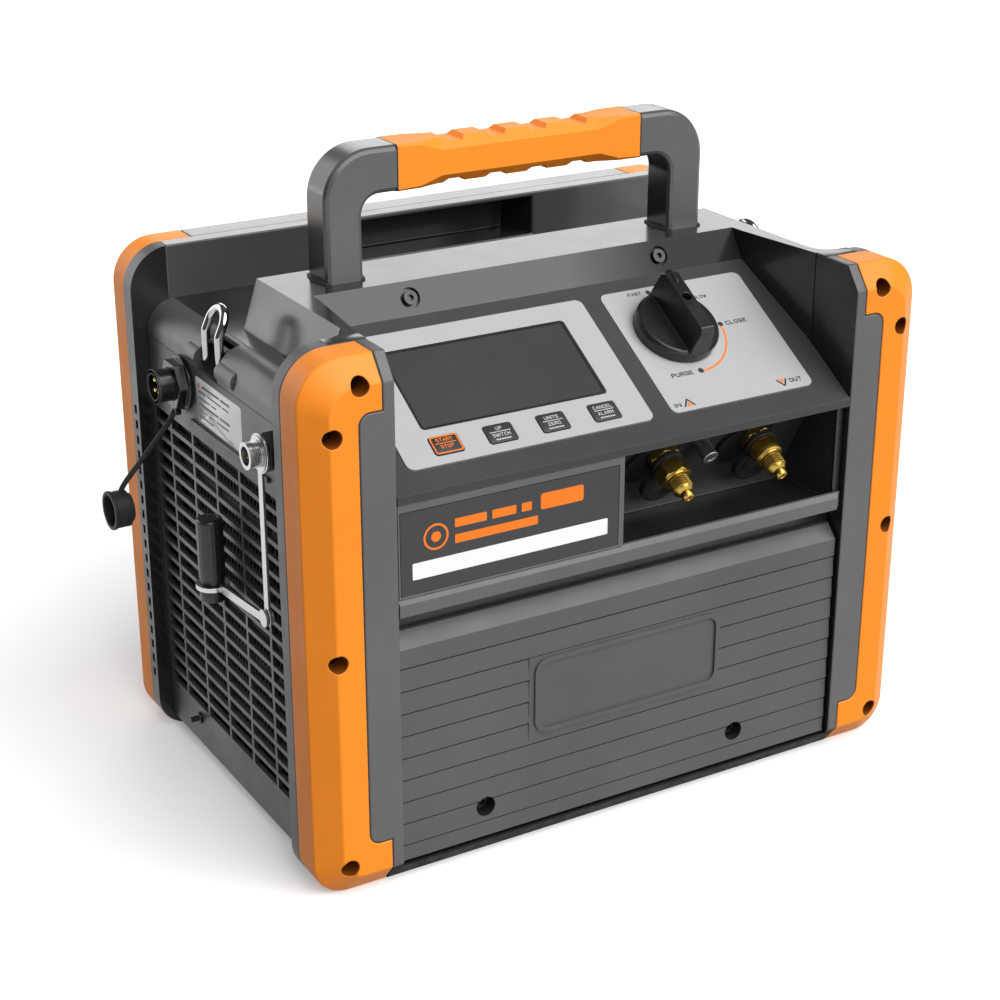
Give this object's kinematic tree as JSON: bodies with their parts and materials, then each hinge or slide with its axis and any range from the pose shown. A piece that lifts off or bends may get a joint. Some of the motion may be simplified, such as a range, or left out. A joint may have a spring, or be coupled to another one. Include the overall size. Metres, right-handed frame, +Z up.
{
  "type": "refrigerant recovery machine",
  "caption": "Box-shaped portable refrigerant recovery machine with corner bumpers, carry handle, sloped screen and selector panel, flare ports, side grilles and working internals.",
  "frame": {"origin": "centre of the resting face under the housing", "axes": "+Z up, the control side faces -Y, +X to the right seen from the control side"},
  "size_m": [0.382, 0.24, 0.3365],
  "materials": {
    "grey_plastic": "fine-textured grey housing plastic",
    "dark_plastic": "satin dark grey plastic",
    "black_plastic": "matte black plastic",
    "orange_elastomer": "soft orange overmould",
    "black_rubber": "matte rubber",
    "orange_key": "matte key",
    "grey_key": "matte key",
    "panel_plate": "satin light grey overlay",
    "screen": "dark glossy screen",
    "circuit_board": "solder mask",
    "brass": "turned brass",
    "chrome": "bright plated steel",
    "steel": "machined steel",
    "black_steel": "black oxide",
    "aluminium": "cast and rolled aluminium",
    "copper": "drawn copper"
  },
  "bodies": {
    "housing": {"base_pan": "aluminium", "front_post_left": "grey_plastic", "front_post_right": "grey_plastic", "front_cowl": "dark_plastic", "front_panel": "grey_plastic", "cover_screws": "black_steel", "front_shelf": "grey_plastic", "info_frame": "grey_plastic", "info_plate": "black_plastic", "port_bay": "black_plastic", "port_pads": "black_plastic", "inlet_port": "brass", "outlet_port": "brass", "earth_stud": "chrome", "display_bezel": "panel_plate", "lcd_window": "screen", "control_board": "circuit_board", "dial_plate": "panel_plate", "valve_block": "brass", "bumper_front_left": "orange_elastomer", "bumper_front_right": "orange_elastomer", "bumper_rear_left": "orange_elastomer", "bumper_rear_right": "orange_elastomer", "bumper_screws": "black_steel", "rear_frame": "grey_plastic", "rear_panel": "grey_plastic", "rear_top_cover": "dark_plastic", "top_cover": "dark_plastic", "left_side_panel": "grey_plastic", "right_side_panel": "grey_plastic", "left_shoulder": "grey_plastic", "right_shoulder": "grey_plastic", "handle_frame": "dark_plastic", "handle_grip": "orange_elastomer", "handle_bolts": "steel", "power_socket": "black_plastic", "power_socket_nut": "black_plastic", "dust_cap": "black_rubber", "cap_tether": "black_rubber", "sensor_socket": "chrome", "sensor_socket_nut": "black_plastic", "side_pin": "black_steel", "condenser_coil": "aluminium", "fan_housing": "black_plastic", "compressor": "aluminium", "power_board": "circuit_board", "refrigerant_lines": "copper"},
    "selector": {"selector_knob": "black_plastic", "valve_stem": "steel"},
    "start_key": {"key_start": "orange_key"},
    "up_key": {"key_up": "grey_key"},
    "units_key": {"key_units": "grey_key"},
    "cancel_key": {"key_cancel": "grey_key"},
    "left_strap_bail": {"left_bail": "chrome"},
    "right_strap_bail": {"right_bail": "chrome"},
    "fan": {"fan_rotor": "black_plastic"},
    "crank": {"crankshaft": "steel"},
    "lanyard_top": {"lanyard_upper": "chrome"},
    "lanyard_tail": {"lanyard_lower": "chrome"},
    "cap": {"sensor_cap": "black_plastic"}
  },
  "joints": [
    {"name": "selector_turn", "type": "hinge", "parent": "housing", "child": "selector", "pos_m": [0.0575, -0.06586, 0.23623], "axis": [0, -0.515, 0.8572], "range_deg": [-180, 0]},
    {"name": "start_key_press", "type": "slide", "parent": "housing", "child": "start_key", "axis": [0, -0.515, 0.8572], "range_m": [-0.0006, 0], "stiffness_N_per_m": 600},
    {"name": "up_key_press", "type": "slide", "parent": "housing", "child": "up_key", "axis": [0, -0.515, 0.8572], "range_m": [-0.0006, 0], "stiffness_N_per_m": 600},
    {"name": "units_key_press", "type": "slide", "parent": "housing", "child": "units_key", "axis": [0, -0.515, 0.8572], "range_m": [-0.0006, 0], "stiffness_N_per_m": 600},
    {"name": "cancel_key_press", "type": "slide", "parent": "housing", "child": "cancel_key", "axis": [0, -0.515, 0.8572], "range_m": [-0.0006, 0], "stiffness_N_per_m": 600},
    {"name": "left_bail_swing", "type": "hinge", "parent": "housing", "child": "left_strap_bail", "pos_m": [-0.163, 0.009, 0.235], "axis": [0, -1, 0], "range_deg": [0, 110]},
    {"name": "right_bail_swing", "type": "hinge", "parent": "housing", "child": "right_strap_bail", "pos_m": [0.163, 0.009, 0.235], "axis": [0, 1, 0], "range_deg": [0, 110]},
    {"name": "fan_spin", "type": "hinge", "parent": "housing", "child": "fan", "pos_m": [-0.12, 0.007, 0.111], "axis": [1, 0, 0], "continuous": true},
    {"name": "crank_spin", "type": "hinge", "parent": "housing", "child": "crank", "pos_m": [0.02, 0.01, 0.076], "axis": [1, 0, 0], "continuous": true},
    {"name": "lanyard_swing", "type": "hinge", "parent": "housing", "child": "lanyard_top", "pos_m": [-0.174, -0.068, 0.2165], "axis": [1, 0, 0], "range_deg": [-5, 25]},
    {"name": "lanyard_fold", "type": "hinge", "parent": "lanyard_top", "child": "lanyard_tail", "pos_m": [-0.1755, -0.068, 0.133], "axis": [1, 0, 0], "range_deg": [-80, 30]},
    {"name": "cap_spin", "type": "hinge", "parent": "lanyard_tail", "child": "cap", "pos_m": [-0.177, -0.008, 0.127], "axis": [0, 0, 1], "continuous": true}
  ]
}
